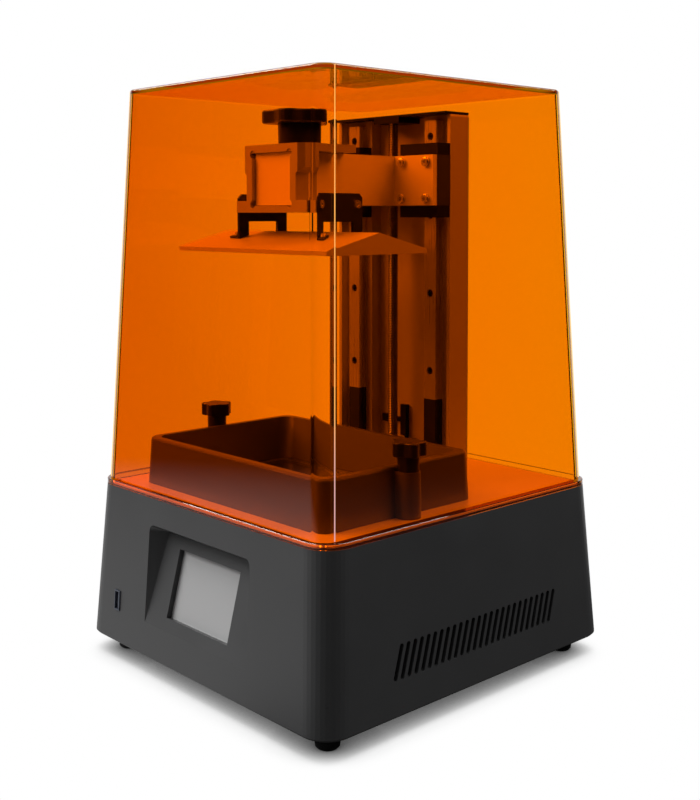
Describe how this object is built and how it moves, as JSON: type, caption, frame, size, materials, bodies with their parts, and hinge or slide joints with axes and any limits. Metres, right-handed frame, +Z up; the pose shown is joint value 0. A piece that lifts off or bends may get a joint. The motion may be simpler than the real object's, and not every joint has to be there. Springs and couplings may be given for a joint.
{
  "type": "resin printer",
  "caption": "Desktop resin printer: tapered dark housing with a tilted screen, amber lift-off cover, resin vat, lift arm on twin rails and a clamped build plate.",
  "frame": {"origin": "centre of the overall bounding box, at the ground plane under the feet", "axes": "+Z up, -Y out of the front with the screen, +X to the right as seen from the front"},
  "size_m": [0.28, 0.29, 0.431],
  "materials": {
    "housing_dark": "satin, fine grain",
    "sheet_dark": "satin",
    "rubber_black": "matte",
    "deck_metal": "satin",
    "screw_steel": "turned",
    "window_black": "gloss",
    "sheet_bright": "satin",
    "board_white": "matte",
    "screen_grey": "gloss",
    "port_dark": "satin",
    "board_green": "satin",
    "plastic_black": "satin",
    "column_dark": "anodised, satin",
    "rail_steel": "ground",
    "black_steel": "satin",
    "motor_dark": "satin",
    "head_bright": "fine milled",
    "block_metal": "ground",
    "arm_metal": "anodised, satin",
    "nut_brass": "turned",
    "plate_metal": "fine blasted",
    "knob_black": "satin",
    "vat_dark": "anodised, satin",
    "film_clear": "clear",
    "cover_amber": "clear, polished"
  },
  "bodies": {
    "base": {"housing": "housing_dark", "bottom_plate": "sheet_dark", "rubber_feet": "rubber_black", "deck": "deck_metal", "deck_screws": "screw_steel", "exposure_window": "window_black", "light_hood": "sheet_bright", "led_board": "board_white", "heat_sink": "sheet_bright", "touch_screen": "screen_grey", "usb_socket": "port_dark", "main_board": "board_green", "fan_frame": "plastic_black", "fan_guard": "screw_steel", "power_socket": "plastic_black", "switch_frame": "plastic_black", "column": "column_dark", "rail_left": "rail_steel", "rail_right": "rail_steel", "rail_foot_left": "black_steel", "rail_foot_right": "black_steel", "rail_screws": "black_steel", "z_motor": "motor_dark", "top_bearing": "plastic_black", "limit_sensor": "plastic_black"},
    "spindle": {"motor_shaft": "rail_steel", "coupler": "head_bright", "lead_screw": "screw_steel"},
    "carriage": {"block_left": "block_metal", "block_right": "block_metal", "block_caps": "plastic_black", "lift_arm": "arm_metal", "arm_screws": "screw_steel", "screw_nut": "nut_brass"},
    "build_head": {"clamp_head": "head_bright", "bracket_left": "black_steel", "bracket_right": "black_steel", "bracket_screws": "screw_steel", "build_plate": "plate_metal"},
    "clamp_screw": {"clamp_knob": "knob_black"},
    "resin_vat": {"vat": "vat_dark", "film_frame": "sheet_bright", "release_film": "film_clear"},
    "vat_screw_left": {"vat_knob_left": "knob_black"},
    "vat_screw_right": {"vat_knob_right": "knob_black"},
    "hood": {"cover": "cover_amber"},
    "power_rocker": {"switch_rocker": "plastic_black"},
    "fan_wheel": {"fan_rotor": "plastic_black"}
  },
  "joints": [
    {"name": "z_lift", "type": "slide", "parent": "base", "child": "carriage", "axis": [0, 0, 1], "range_m": [-0.1762, 0.008]},
    {"name": "screw_turn", "type": "hinge", "parent": "base", "child": "spindle", "pos_m": [0, 0.0515, 0.146], "axis": [0, 0, 1], "range_deg": [-740, 15960]},
    {"name": "platform_release", "type": "slide", "parent": "carriage", "child": "build_head", "axis": [0, -1, 0], "range_m": [0, 0.028]},
    {"name": "clamp_turn", "type": "hinge", "parent": "build_head", "child": "clamp_screw", "pos_m": [0, -0.0455, 0.387], "axis": [0, 0, 1], "range_deg": [0, 360]},
    {"name": "vat_lift", "type": "slide", "parent": "base", "child": "resin_vat", "axis": [0, 0, 1], "range_m": [0, 0.036]},
    {"name": "vat_screw_left_turn", "type": "hinge", "parent": "resin_vat", "child": "vat_screw_left", "pos_m": [-0.1075, -0.041, 0.163], "axis": [0, 0, 1], "range_deg": [0, 360]},
    {"name": "vat_screw_right_turn", "type": "hinge", "parent": "resin_vat", "child": "vat_screw_right", "pos_m": [0.1075, -0.041, 0.163], "axis": [0, 0, 1], "range_deg": [0, 360]},
    {"name": "cover_lift", "type": "slide", "parent": "base", "child": "hood", "axis": [0, 0, 1], "range_m": [0, 0.31]},
    {"name": "power_rock", "type": "hinge", "parent": "base", "child": "power_rocker", "pos_m": [-0.062, 0.1365, 0.078], "axis": [0, 0, 1], "range_deg": [-9, 9]},
    {"name": "fan_spin", "type": "hinge", "parent": "base", "child": "fan_wheel", "pos_m": [0.062, 0.127, 0.068], "axis": [0, 1, 0], "continuous": true}
  ],
  "couplings": [
    {"joint": "screw_turn", "follows": "z_lift", "rad_per_m": -1570.8}
  ]
}
